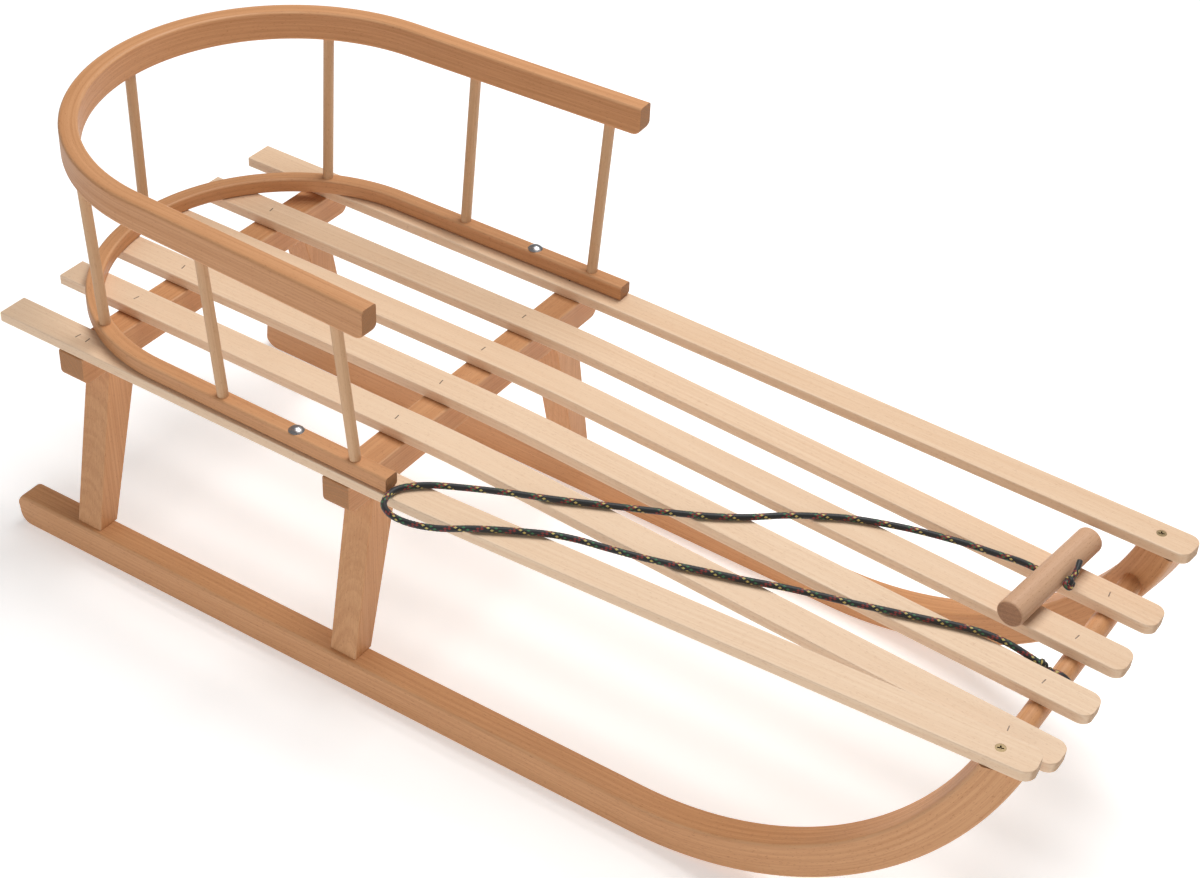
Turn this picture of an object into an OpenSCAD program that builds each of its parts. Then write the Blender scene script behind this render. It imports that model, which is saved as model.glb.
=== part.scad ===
// Wooden sled with bent runners, six seat slats, a lift-off hoop backrest and a pull cord.
// +X points forward, towards the curled horns; +Y is the rider's left; the runners stand on z = 0.
// Places along the sled are counted from the slats' rear ends, and origin_x moves them to the middle.

/* [Seat] */
// Length of the seat slats
slat_l = 1000; // [840:10:1200]
// Width of a slat
slat_w = 30; // [25:0.5:34]
// Thickness of a slat
slat_t = 10; // [8:0.5:12]
// Height of the seat above the ground
seat_h = 236; // [196:1:284]
// Middle of the two inner slats, from the sled's middle
inner_y = 31; // [26:0.5:36]
// Middle of the next two slats
second_y = 93.5; // [84:0.5:104]
// Middle of the outer slats where they lie on the beams
outer_y = 168; // [150:0.5:190]
// Middle of the outer slats at their front ends
outer_front_y = 147; // [140:0.5:160]
// Fall of the four inner slats from the middle beam to their front ends
nose_drop = 32; // [20:1:44]
// Rise of the outer slats onto the horns
horn_rise = 5; // [0:0.5:8]
// Radius of the slats' front corners
slat_corner_r = 10; // [2:0.5:12]

/* [Beams and legs] */
// Rear face of the rear beam
rear_beam_x = 70; // [50:1:110]
// Rear face of the middle beam
middle_beam_x = 368; // [345:1:460]
// Width of a beam along the sled, and so of a leg
beam_w = 28.5; // [24:0.1:34.2]
// Height of a beam
beam_h = 29; // [24:0.5:34]
// Length of a beam
beam_l = 368; // [350:1:400]
// Radius of the beams' lower corners
beam_corner_r = 9; // [2:0.5:12]
// Outer face of a leg under its beam, from the sled's middle
leg_top_y = 152.5; // [130:0.5:160]
// Width of a leg at the top
leg_top_w = 35; // [28:0.5:42]
// Width of a leg at its foot
leg_foot_w = 22.5; // [18:0.5:24]
// Side of a tenon at each end of a leg
tenon_w = 12; // [8:0.5:14]
// Depth of a tenon
tenon_d = 16; // [10:0.5:20]

/* [Runners] */
// Width of a runner
runner_w = 26; // [22:0.2:31.2]
// Height of a runner
runner_h = 33; // [28:0.5:38]
// Outer face of the sole at the rear end, from the sled's middle
runner_y = 194; // [180:0.5:210]
// Inward lean of the runners in degrees
runner_lean = 5.1; // [3:0.1:7]
// Toe-in of the runners in degrees
runner_toe = 0.7; // [0:0.1:1.5]
// Distance from the slats' front ends back to the start of the curl
curl_back = 319; // [310:1:335]
// Radius of the sole in the curl
curl_r = 325; // [318:1:334]
// Rear overhang of the runners behind the slats
runner_tail = 1; // [0:1:30]
// Eased edge of the runners
runner_ease = 3; // [1:0.5:5]

/* [Front bar] */
// Diameter of the round bar between the horns
bar_d = 19; // [15:0.5:23]
// Distance of the bar's axis in front of the middle of the horns
bar_ahead = 1.1; // [-4:0.1:4]
// Depth that the bar goes into each horn
bar_socket = 12; // [8:0.5:16]

/* [Backrest] */
// Height of the upper rail's top above the seat
back_h = 191; // [150:1:230]
// Width of the upper rail across its bend
rail_w = 17; // [14:0.5:20]
// Height of the upper rail
rail_h = 28.5; // [22:0.5:34]
// Outer radius of the upper rail's bend
rail_r = 193; // [180:1:210]
// Outward flare of the upper rail's arms in degrees
rail_flare = 2.2; // [0:0.1:4]
// Front ends of the upper rail, from the slats' rear ends
rail_front_x = 431; // [420:1:460]
// Overhang of the upper rail behind the slats
rail_tail = 5; // [0:1:20]
// Width of the base hoop
base_w = 15; // [14:0.5:20]
// Height of the base hoop
base_h = 15; // [13:0.5:20]
// Outer radius of the base hoop's bend
base_r = 179; // [170:1:190]
// Outward flare of the base hoop's arms in degrees
base_flare = 0.4; // [0:0.1:2]
// Front ends of the base hoop
base_front_x = 433; // [415:1:460]
// Overhang of the base hoop behind the slats
base_tail = 2; // [0:1:20]
// Diameter of a spindle
spindle_d = 10; // [8:0.5:12]
// Depth of a spindle's ends in the hoops
spindle_seat = 9; // [6:0.5:11]
// Front pair of spindles
spindle_front_x = 396; // [370:1:410]
// Middle pair of spindles
spindle_mid_x = 253; // [230:1:280]
// Rear pair of spindles
spindle_rear_x = 101; // [80:1:130]
// Place of the two backrest bolts
bolt_x = 333; // [300:1:345]

/* [Fixings] */
// Thread diameter of the backrest bolts
bolt_d = 6; // [5:0.5:7]
// Diameter of a bolt's domed head
bolt_head_d = 14; // [12:0.5:16]
// Radial clearance of a bolt in its nut and washer
bolt_clear = 0.05; // [0.02:0.01:0.1]
// Radial clearance of a bolt in its slat
slat_clear = 0.4; // [0.3:0.1:0.8]
// Length of bolt below its nut
bolt_spare = 1.2; // [0.6:0.1:3]
// Diameter of a washer
washer_d = 11; // [10:0.5:16]
// Thickness of a washer
washer_t = 1.6; // [1:0.1:2]
// Gap under the slat that keeps the washer free to turn
washer_gap = 0.3; // [0.2:0.1:0.5]
// Height of a thin hexagon nut
nut_h = 3.2; // [2.5:0.1:5]
// Width of a nut across its flats
nut_af = 10; // [9:0.5:13]
// Diameter of a front screw's head
screw_head_d = 10; // [8:0.5:12]
// Diameter of a front screw's shank
screw_d = 4.5; // [3.5:0.5:5]
// Length of a front screw
screw_l = 38; // [30:1:42]
// Length of a staple's crown
staple_crown = 6; // [4:0.5:8]
// Thickness of staple wire
staple_wire = 1; // [0.8:0.1:1.4]
// Length of a staple's legs
staple_leg = 18; // [14:0.5:20]

/* [Pull cord] */
// Diameter of the cord
cord_d = 5.5; // [4:0.5:7]
// Diameter of the pull handle
handle_d = 24; // [20:0.5:30]
// Length of the pull handle
handle_l = 124; // [110:1:128]

/* [Hidden] */
$fn = 96;
left = 1;
right = -1;
big = 3 * slat_l;

pale_beech = [0.90, 0.75, 0.58];
warm_beech = [0.78, 0.58, 0.40];
dark_beech = [0.68, 0.47, 0.31];
steel = [0.80, 0.80, 0.82];
yellow_zinc = [0.72, 0.60, 0.34];
cord_black = [0.10, 0.09, 0.09];

// The finished object is centred between the upper rail's back and the slats' front ends
origin_x = -(slat_l - rail_tail) / 2;
bend_x = middle_beam_x + beam_w;
beam_top = seat_h - slat_t;
beam_under = beam_top - beam_h;

// The outer slats lie level until they are past the base hoop's front ends
rise_gap = 2;
rise_x = max(bend_x, base_front_x) + rise_gap;

// Share of a slat's bend at x: none up to where it starts, a short curve, then straight to the front
soft = 0.15;
function bend_share(x, start = bend_x) =
    let (t = (x - start) / (slat_l - start))
    t <= 0 ? 0 : t < soft ? t * t / (2 * soft * (1 - soft / 2)) : (t - soft / 2) / (1 - soft / 2);
function is_outer(k) = k == 1 || k == 6;
function slat_side(k) = k <= 3 ? right : left;
function slat_y(k, x) =
    slat_side(k) * (is_outer(k) ? outer_y + (outer_front_y - outer_y) * bend_share(x)
        : k == 2 || k == 5 ? second_y : inner_y);
function slat_top(k, x) =
    seat_h + (is_outer(k) ? horn_rise * bend_share(x, rise_x) : -nose_drop * bend_share(x));
function arc(cx, cy, r, from, to, steps) =
    [for (i = [0:steps]) let (a = from + (to - from) * i / steps) [cx + r * cos(a), cy + r * sin(a)]];

slat_steps = 12;
slat_xs = concat([0, bend_x, rise_x], [for (i = [1:slat_steps])
    rise_x + (slat_l - slat_corner_r - rise_x) * i / slat_steps]);

module place() translate([origin_x, 0, 0]) children();

// ---- slats ----
module slat_plan(k) {
    ye = slat_y(k, slat_l);
    c = slat_w / 2 - slat_corner_r;
    n = len(slat_xs) - 1;
    polygon(concat(
        [for (i = [0:n]) [slat_xs[i], slat_y(k, slat_xs[i]) - slat_w / 2]],
        arc(slat_l - slat_corner_r, ye - c, slat_corner_r, -80, 0, 6),
        arc(slat_l - slat_corner_r, ye + c, slat_corner_r, 0, 80, 6),
        [for (i = [n:-1:0]) [slat_xs[i], slat_y(k, slat_xs[i]) + slat_w / 2]]
    ));
}

module slat_profile(k) {
    xs = concat(slat_xs, [slat_l + 1]);
    n = len(xs) - 1;
    polygon(concat(
        [for (i = [0:n]) [xs[i], slat_top(k, xs[i]) - slat_t]],
        [for (i = [n:-1:0]) [xs[i], slat_top(k, xs[i])]]
    ));
}

module slat_blank(k) intersection() {
    translate([0, 0, seat_h - 3 * nose_drop]) linear_extrude(5 * nose_drop) slat_plan(k);
    translate([0, beam_l, 0]) rotate([90, 0, 0]) linear_extrude(2 * beam_l) slat_profile(k);
}

module slat(k) color(pale_beech) place() difference() {
    slat_blank(k);
    staples_on(k, 2);
    if (is_outer(k)) {
        screw_body(slat_side(k));
        translate([bolt_x, slat_side(k) * bolt_y, seat_h - slat_t - 1])
            cylinder(h = slat_t + 2, d = bolt_d + 2 * slat_clear);
    }
}

// ---- staples: each crosses its slat and reaches into the beam or bar below ----
staple_sink = 0.4;
function staple_xs(k) = concat(
    is_outer(k) ? [rear_beam_x + beam_w * 0.35, rear_beam_x + beam_w * 0.75]
        : [rear_beam_x + beam_w * 0.35],
    [middle_beam_x + beam_w * 0.3],
    is_outer(k) ? [] : [bar_x - 3]
);

// A staple, or with open above 0 the slit that a sunken staple leaves in its slat
module staple(open = 0) {
    translate([-staple_wire / 2, -staple_crown / 2, -staple_wire])
        cube([staple_wire, staple_crown, staple_wire + open]);
    for (s = [0, 1])
        translate([-staple_wire / 2, s * (staple_crown - staple_wire) - staple_crown / 2, -staple_leg])
            cube([staple_wire, staple_wire, staple_leg]);
}

module staples_on(k, open = 0) for (x = staple_xs(k))
    translate([x, slat_y(k, x), slat_top(k, x) - staple_sink]) staple(open);

module staples() color(steel) place() for (k = [1:6]) staples_on(k);

// ---- beams ----
module beam_profile() polygon(concat(
    [[-beam_l / 2, beam_top]],
    arc(-beam_l / 2 + beam_corner_r, beam_under + beam_corner_r, beam_corner_r, 180, 270, 8),
    arc(beam_l / 2 - beam_corner_r, beam_under + beam_corner_r, beam_corner_r, 270, 360, 8),
    [[beam_l / 2, beam_top]]
));

module beam(x) color(warm_beech) place() difference() {
    translate([x, 0, 0]) rotate([90, 0, 90]) linear_extrude(beam_w) beam_profile();
    for (side = [left, right]) top_tenon(x, side);
    for (k = [1:6]) staples_on(k);
}

// ---- runners ----
// Outer and inner face of a runner at x and height z, from the sled's middle
function runner_face(x, z) = runner_y - x * tan(runner_toe) - z * tan(runner_lean);
function runner_inner(x, z) = runner_face(x, z) - runner_w / cos(runner_lean) / cos(runner_toe);
curl_x = slat_l - curl_back;
tail_top_r = 7;
tail_sole_r = 12;

module runner_section(drop) {
    e = runner_ease;
    polygon([
        [-runner_w + e, drop], [-e, drop], [0, drop + e], [0, drop + runner_h - e],
        [-e, drop + runner_h], [-runner_w + e, drop + runner_h],
        [-runner_w, drop + runner_h - e], [-runner_w, drop + e]
    ]);
}

// The straight length and the curl share one eased section, planed flat where it meets the ground
module runner_bent(side) mirror([0, side == right ? 1 : 0, 0]) translate([0, runner_y, 0])
    rotate([0, 0, -runner_toe]) rotate([runner_lean, 0, 0]) {
        difference() {
            translate([-runner_tail, 0, 0]) rotate([90, 0, 90])
                linear_extrude(curl_x + runner_tail) runner_section(0);
            tail_corner(runner_h, tail_top_r, 1);
            tail_corner(0, tail_sole_r, 0);
        }
        translate([curl_x, 0, curl_r]) rotate([0, 90, 90])
            rotate_extrude(angle = -90) translate([curl_r, 0]) curl_section();
    }

// The same section turned for the curl: x runs from the curl's centre, y across the runner
module curl_section() {
    e = runner_ease;
    polygon([
        [0, -runner_w + e], [0, -e], [-e, 0], [-runner_h + e, 0],
        [-runner_h, -e], [-runner_h, -runner_w + e],
        [-runner_h + e, -runner_w], [-e, -runner_w]
    ]);
}

// What is cut away to round a corner of a runner's rear end
module tail_corner(z, r, top) translate([-runner_tail, 1, z + (top == 1 ? -r : r)]) rotate([90, 0, 0])
    linear_extrude(runner_w + 2) difference() {
        translate([-1, top == 1 ? 0 : -r - 1]) square([r + 1, r + 1]);
        translate([r, 0]) circle(r);
    }

module horn_top_cut(side) {
    k = side == left ? 6 : 1;
    translate([0, slat_l / 2, 0]) rotate([90, 0, 0]) linear_extrude(slat_l) polygon(concat(
        [for (x = [slat_l / 2, slat_l * 0.9, slat_l * 1.2]) [x, slat_top(k, x) - slat_t]],
        [[slat_l * 1.2, big], [slat_l / 2, big]]
    ));
}

module runner_blank(side) difference() {
    runner_bent(side);
    horn_top_cut(side);
    translate([-slat_l / 2, -slat_l / 2, -40]) cube([2 * slat_l, slat_l, 40]);
}

module runner(side) color(warm_beech) place() difference() {
    runner_blank(side);
    for (x = [rear_beam_x, middle_beam_x]) foot_tenon(x, side);
    bar_body();
    screw_body(side);
}

// ---- legs ----
foot_z = runner_h;
// How far a tenon runs back into its own leg
tenon_root = 6;
// How far a leg's sides run on below the runner's top, where the runner cuts them off
foot_run_on = 8;
// Inner face of a leg's foot, flush with the inner face of its runner
function foot_inner(x) = runner_inner(x + beam_w / 2, foot_z);
function foot_middle(x) = foot_inner(x) + leg_foot_w / 2;
leg_top_middle = leg_top_y - leg_top_w / 2;

module leg_blank(x, side) {
    in = foot_inner(x);
    low = foot_z - foot_run_on;
    t = (low - foot_z) / (beam_under - foot_z);
    top_in = leg_top_y - leg_top_w;
    mirror([0, side == right ? 1 : 0, 0]) translate([x, 0, 0]) rotate([90, 0, 90])
        linear_extrude(beam_w) polygon([
            [in + (top_in - in) * t, low],
            [in + leg_foot_w + (leg_top_y - in - leg_foot_w) * t, low],
            [leg_top_y, beam_under], [top_in, beam_under]
        ]);
}

module foot_tenon(x, side) translate([
    x + (beam_w - tenon_w) / 2, side * foot_middle(x) - tenon_w / 2, foot_z - tenon_d
]) cube([tenon_w, tenon_w, tenon_d + tenon_root]);

module top_tenon(x, side) translate([
    x + (beam_w - tenon_w) / 2, side * leg_top_middle - tenon_w / 2, beam_under - tenon_root
]) cube([tenon_w, tenon_w, tenon_d + tenon_root]);

module leg(x, side) color(warm_beech) place() {
    difference() {
        leg_blank(x, side);
        runner_blank(side);
    }
    foot_tenon(x, side);
    top_tenon(x, side);
}

// ---- front bar: it lies under the four inner slats and ends inside the horns ----
nose_slope = atan(nose_drop / (slat_l - bend_x) / (1 - soft / 2));
function bar_height(x) = slat_top(3, x) - slat_t - bar_d / 2 / cos(nose_slope);
function horn_middle(z) = curl_x + sqrt(pow(curl_r - runner_h / 2, 2) - pow(curl_r - z, 2));
// The bar follows the horns: its place along the sled and its height are found in two passes
bar_x = horn_middle(bar_height(horn_middle(bar_height(0.95 * slat_l)) + bar_ahead)) + bar_ahead;
bar_z = bar_height(bar_x);
bar_half = runner_inner(bar_x, bar_z) + bar_socket;

module bar_body() translate([bar_x, 0, bar_z]) rotate([90, 0, 0])
    cylinder(h = 2 * bar_half, d = bar_d, center = true);

module front_bar() color(warm_beech) place() difference() {
    bar_body();
    for (k = [2:5]) staples_on(k);
}

// ---- screws through the outer slats into the horns ----
screw_cone = 3;
screw_sink = 0.3;
recess_depth = 1.6;
recess_span = 5.2;
recess_w = 1.2;
recess_turn = 20;
screw_r_mid = curl_r - runner_h / 2;
screw_back = 5;
screw_x = curl_x + sqrt(pow(screw_r_mid, 2) - pow(curl_r - (seat_h + horn_rise - slat_t), 2)) - screw_back;
function screw_y(side) = side * (runner_face(screw_x, seat_h - slat_t) - runner_w / 2);
screw_z = slat_top(6, screw_x) - screw_sink;

module screw_body(side) translate([screw_x, screw_y(side), screw_z]) {
    translate([0, 0, -screw_cone]) cylinder(h = screw_cone, d1 = screw_d, d2 = screw_head_d);
    translate([0, 0, -screw_l]) cylinder(h = screw_l - 1, d = screw_d);
}

module cross_recess(side) translate([screw_x, screw_y(side), screw_z - recess_depth]) for (a = [0, 90])
    rotate([0, 0, a + recess_turn]) translate([-recess_span / 2, -recess_w / 2, 0])
        cube([recess_span, recess_w, 2 * recess_depth]);

module front_screws() color(yellow_zinc) place() for (side = [left, right]) difference() {
    screw_body(side);
    cross_recess(side);
}

// ---- hoops ----
// A hoop is a bend of outer radius r with straight arms that flare outwards by a few degrees
function hoop_cx(r, tail) = r - tail;
function hoop_y(x, r, tail, flare, w) =
    let (cx = hoop_cx(r, tail), rm = r - w / 2, knee = cx - rm * sin(flare))
    x < knee ? sqrt(pow(rm, 2) - pow(x - cx, 2)) : rm * cos(flare) + (x - knee) * tan(flare);
function rail_y(x) = hoop_y(x, rail_r, rail_tail, rail_flare, rail_w);
function base_y(x) = hoop_y(x, base_r, base_tail, base_flare, base_w);

module eased(w, h, e) polygon([
    [-w / 2 + e, 0], [w / 2 - e, 0], [w / 2, e], [w / 2, h - e],
    [w / 2 - e, h], [-w / 2 + e, h], [-w / 2, h - e], [-w / 2, e]
]);

// The left half of a hoop, cut off at the sled's middle
module half_hoop(r, flare, w, h, e, arm, end_r) {
    rm = r - w / 2;
    difference() {
        rotate([0, 0, flare]) {
            rotate([0, 0, 90]) rotate_extrude(angle = 95 - flare) translate([rm, 0]) eased(w, h, e);
            difference() {
                translate([0, rm, 0]) rotate([90, 0, 90]) linear_extrude(arm) eased(w, h, e);
                translate([arm, rm, 0]) arm_end(w, end_r);
            }
        }
        translate([-2 * r, -r, -1]) cube([2 * r, r, h + 2]);
    }
}

module hoop(r, tail, flare, w, h, e, front_x, end_r) {
    cx = hoop_cx(r, tail);
    arm = (front_x - cx + (r - w / 2) * sin(flare)) / cos(flare);
    translate([cx, 0, 0]) for (side = [0, 1])
        mirror([0, side, 0]) half_hoop(r, flare, w, h, e, arm, end_r);
}

// Rounds the lower corner of an arm's front end
module arm_end(w, r) translate([-r, w, -1]) rotate([90, 0, 0]) linear_extrude(2 * w) difference() {
    square([r + 1, r + 1]);
    translate([0, r + 1]) circle(r);
}

rail_z = seat_h + back_h - rail_h;
rail_ease = 2.5;
rail_end_r = 9;
base_ease = 2;
base_end_r = 3;

module upper_rail() color(warm_beech) place() difference() {
    translate([0, 0, rail_z])
        hoop(rail_r, rail_tail, rail_flare, rail_w, rail_h, rail_ease, rail_front_x, rail_end_r);
    for (i = [1:7]) spindle_body(i);
}

module base_hoop() color(dark_beech) place() difference() {
    translate([0, 0, seat_h])
        hoop(base_r, base_tail, base_flare, base_w, base_h, base_ease, base_front_x, base_end_r);
    for (i = [1:7]) spindle_body(i);
    for (side = [left, right]) bolt_body(side);
}

// ---- spindles: 1 to 3 on the right from the front, 4 at the back, 5 to 7 on the left from the back ----
pair_x = [spindle_front_x, spindle_mid_x, spindle_rear_x];
function spindle_x(i) = i == 4 ? 0 : i < 4 ? pair_x[i - 1] : pair_x[7 - i];
function spindle_side(i) = i < 4 ? right : left;
function spindle_foot(i) = i == 4 ? [base_w / 2 - base_tail, 0, seat_h + base_h]
    : [spindle_x(i), spindle_side(i) * base_y(spindle_x(i)), seat_h + base_h];
function spindle_head(i) = i == 4 ? [rail_w / 2 - rail_tail, 0, rail_z]
    : [spindle_x(i), spindle_side(i) * rail_y(spindle_x(i)), rail_z];

module spindle_body(i) {
    foot = spindle_foot(i);
    v = spindle_head(i) - foot;
    span = norm(v);
    translate(foot) rotate([0, acos(v[2] / span), atan2(v[1], v[0])])
        translate([0, 0, -spindle_seat]) cylinder(h = span + 2 * spindle_seat, d = spindle_d);
}

module spindle(i) color(warm_beech) place() spindle_body(i);

// ---- backrest bolts, washers and thin nuts, which stay hidden behind the slat's lower edge ----
bolt_y = base_y(bolt_x);
bolt_head_h = 3.2;
neck_w = bolt_d;
neck_h = 3;
dome_r = (pow(bolt_head_d / 2, 2) + pow(bolt_head_h, 2)) / (2 * bolt_head_h);
washer_z = beam_top - washer_gap - washer_t;
nut_z = washer_z - washer_gap - nut_h;
bolt_end_z = nut_z - bolt_spare;

module bolt_body(side) translate([bolt_x, side * bolt_y, 0]) {
    translate([0, 0, bolt_end_z]) cylinder(h = seat_h + base_h - bolt_end_z, d = bolt_d);
    translate([-neck_w / 2, -neck_w / 2, seat_h + base_h - neck_h]) cube([neck_w, neck_w, neck_h]);
}

module bolt_head(side) translate([bolt_x, side * bolt_y, seat_h + base_h]) intersection() {
    translate([0, 0, bolt_head_h - dome_r]) sphere(r = dome_r);
    cylinder(h = bolt_head_h, d = bolt_head_d);
}

module backrest_bolts() color(steel) place() for (side = [left, right]) {
    bolt_body(side);
    bolt_head(side);
}

module washer(side) color(steel) place() translate([bolt_x, side * bolt_y, washer_z]) difference() {
    cylinder(h = washer_t, d = washer_d);
    translate([0, 0, -1]) cylinder(h = washer_t + 2, d = bolt_d + 2 * bolt_clear);
}

// Two flats face the sled's sides
module nut(side) color(steel) place() translate([bolt_x, side * bolt_y, nut_z]) difference() {
    cylinder(h = nut_h, d = nut_af / cos(30), $fn = 6);
    translate([0, 0, -nut_h]) cylinder(h = 3 * nut_h, d = bolt_d + 2 * bolt_clear);
}

// ---- pull cord ----
handle_x = 912;
handle_y = 68;
handle_turn = 6.3;
handle_gap = 0.6;
handle_z = slat_top(4, handle_x) + handle_d / 2 + handle_gap;
handle_end_ease = 2;
hole_clear = 0.2;

module handle_place() translate([handle_x, handle_y, handle_z]) rotate([0, 0, -handle_turn]) children();

module pull_handle() color(pale_beech) place() handle_place() difference() {
    rotate([90, 0, 0]) union() {
        cylinder(h = handle_l - 2 * handle_end_ease, d = handle_d, center = true);
        cylinder(h = handle_l, d = handle_d - 2 * handle_end_ease, center = true);
    }
    rotate([0, 90, 0]) cylinder(h = 2 * handle_d, d = cord_d + 2 * hole_clear, center = true);
}

// The bar's loop is a ring of cord that hangs on the bar between the two inner slats
loop_y = -9;
loop_slack = 2;
loop_r = bar_d / 2 + cord_d / 2 + loop_slack;
loop_z = bar_z - 0.9 * loop_slack;
module bar_loop() color(cord_black) place() translate([bar_x, loop_y, loop_z]) rotate([90, 0, 0])
    rotate_extrude() translate([loop_r, 0]) circle(d = cord_d, $fn = 24);

bar_knot_d = 10;
module bar_knot() color(cord_black) place() translate([945, -10.3, 202]) sphere(d = bar_knot_d, $fn = 32);

// The stopper knot in front of the handle, with its short tail
end_knot_d = 13;
tail_l = 23;
tail_tilt = 68;
module end_knot() color(cord_black) place() translate([928.5, 67.5, handle_z + 0.8]) {
    sphere(d = end_knot_d, $fn = 32);
    rotate([-tail_tilt, 0, 0]) cylinder(h = tail_l, d = cord_d);
}

// The cord's route from the knot above the bar, back along the seat, round and forward to the handle
route = [
    [942, -10.5, 203], [932, -11, 206], [916, -12.5, 210.3], [898, -15.5, 213], [878, -21, 214.2],
    [842, -35, 216.2], [799, -52, 218.8], [770, -63, 220.8], [745, -72.5, 222.2], [720, -83, 223.4],
    [692, -94, 224.9], [665, -105, 226.5], [638, -116, 229], [612, -127, 233.2], [590, -137, 237.6],
    [569, -148, 240.2], [545, -161, 240.1], [520, -176, 239.9], [496, -192, 239], [474, -200.5, 238.6],
    [455, -201.5, 238.6], [442, -195, 238.9], [437.5, -182, 239.2], [441, -169, 239.3],
    [456, -154, 239.3], [479, -138.5, 237.8], [510, -120, 235.6], [544, -102, 233.4],
    [581, -81, 231.3], [617, -60.5, 229.2], [653, -38.5, 227.1], [680, -18, 225.5],
    [702, 2.5, 224.4], [724, 20, 223], [750, 37, 221.5], [791, 55, 219.4], [832, 67, 217.8],
    [862, 70.5, 218.4], [884, 71, 220.6], [900, 69.5, 221.6]
];
cord_rings = 78;
cord_sides = 10;

// A smooth curve through the route's points
function spline(t) =
    let (n = len(route) - 1, i = min(floor(t), n - 1), u = t - i,
        a = route[max(i - 1, 0)], b = route[i], c = route[i + 1], d = route[min(i + 2, n)])
    0.5 * (2 * b + (c - a) * u + (2 * a - 5 * b + 4 * c - d) * u * u
        + (3 * b - a - 3 * c + d) * u * u * u);

module pull_cord() color(cord_black) place() {
    n = len(route) - 1;
    m = cord_sides;
    points = [for (i = [0:cord_rings]) let (
        t = n * i / cord_rings,
        p = spline(t),
        ahead = spline(min(t + 0.05, n)) - spline(max(t - 0.05, 0)),
        along = ahead / norm(ahead),
        across = cross(along, [0, 0, 1]) / norm(cross(along, [0, 0, 1])),
        up = cross(across, along)
    ) for (j = [0:m - 1]) p + cord_d / 2 * (across * cos(360 * j / m) + up * sin(360 * j / m))];
    faces = concat(
        [[for (j = [0:m - 1]) j]],
        [for (i = [0:cord_rings - 1]) for (j = [0:m - 1])
            [i * m + j, (i + 1) * m + j, (i + 1) * m + (j + 1) % m, i * m + (j + 1) % m]],
        [[for (j = [m - 1:-1:0]) cord_rings * m + j]]
    );
    polyhedron(points, faces);
}

runner(left);  // runner_left
runner(right);  // runner_right
leg(rear_beam_x, left);  // leg_rear_left
leg(rear_beam_x, right);  // leg_rear_right
leg(middle_beam_x, left);  // leg_middle_left
leg(middle_beam_x, right);  // leg_middle_right
beam(rear_beam_x);  // rear_beam
beam(middle_beam_x);  // middle_beam
front_bar();
slat(1);  // slat_1
slat(2);  // slat_2
slat(3);  // slat_3
slat(4);  // slat_4
slat(5);  // slat_5
slat(6);  // slat_6
staples();
front_screws();
upper_rail();
base_hoop();
spindle(1);  // spindle_1
spindle(2);  // spindle_2
spindle(3);  // spindle_3
spindle(4);  // spindle_4
spindle(5);  // spindle_5
spindle(6);  // spindle_6
spindle(7);  // spindle_7
backrest_bolts();
washer(left);  // washer_left
washer(right);  // washer_right
nut(left);  // nut_left
nut(right);  // nut_right
pull_cord();
bar_loop();
bar_knot();
pull_handle();
end_knot();
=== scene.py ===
import math
import bmesh
import bpy
import numpy as np
from mathutils import Matrix, Vector


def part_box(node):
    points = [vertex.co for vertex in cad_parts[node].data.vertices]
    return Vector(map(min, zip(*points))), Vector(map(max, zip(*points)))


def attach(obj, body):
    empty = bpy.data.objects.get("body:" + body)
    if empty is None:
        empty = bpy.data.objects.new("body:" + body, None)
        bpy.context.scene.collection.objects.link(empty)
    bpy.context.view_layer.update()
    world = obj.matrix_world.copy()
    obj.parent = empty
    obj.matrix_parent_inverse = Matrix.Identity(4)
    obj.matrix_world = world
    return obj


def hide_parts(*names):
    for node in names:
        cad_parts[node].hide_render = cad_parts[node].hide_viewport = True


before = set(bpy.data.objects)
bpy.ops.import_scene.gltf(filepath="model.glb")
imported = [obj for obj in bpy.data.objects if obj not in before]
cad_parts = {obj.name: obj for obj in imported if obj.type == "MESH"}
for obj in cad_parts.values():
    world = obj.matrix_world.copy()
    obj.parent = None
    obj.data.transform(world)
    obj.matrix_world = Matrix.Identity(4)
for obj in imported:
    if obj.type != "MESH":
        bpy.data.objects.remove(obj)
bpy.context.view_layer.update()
print("frame loaded:", len(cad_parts), "CAD nodes")

# the slats' rear ends, the zero that every distance along the sled is counted from
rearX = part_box("slat_2")[0][0]
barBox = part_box("front_bar")
barCentre = (Vector(barBox[0]) + Vector(barBox[1])) / 2


def at(x, y, z):
    # a place counted from the slats' rear ends, in millimetres
    return Vector((rearX + x / 1000, y / 1000, z / 1000))


# camera
cameraView = dict(azimuth=31.984, elevation=37.837, roll=2.925, distance=2.0835,
                  aim=(-0.0323, 0.0916, 0.138), lens=68.416)


def addCamera(view):
    az, el, roll = (math.radians(view[k]) for k in ("azimuth", "elevation", "roll"))
    back = Vector((math.sin(az) * math.cos(el), -math.cos(az) * math.cos(el), math.sin(el)))
    right = (-back).cross(Vector((0, 0, 1))).normalized()
    up = back.cross(right)
    turn = Matrix((right, up, back)).transposed() @ Matrix.Rotation(roll, 3, "Z")
    data = bpy.data.cameras.new("camera")
    data.lens = view["lens"]
    data.clip_end = 40
    camera = bpy.data.objects.new("camera", data)
    bpy.context.scene.collection.objects.link(camera)
    camera.matrix_world = Matrix.Translation(Vector(view["aim"]) + back * view["distance"]) @ turn.to_4x4()
    bpy.context.scene.camera = camera


addCamera(cameraView)
print("camera placed")


# small helpers for node trees
def addNode(tree, kind, **settings):
    node = tree.nodes.new(kind)
    for name, value in settings.items():
        setattr(node, name, value)
    return node


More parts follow.
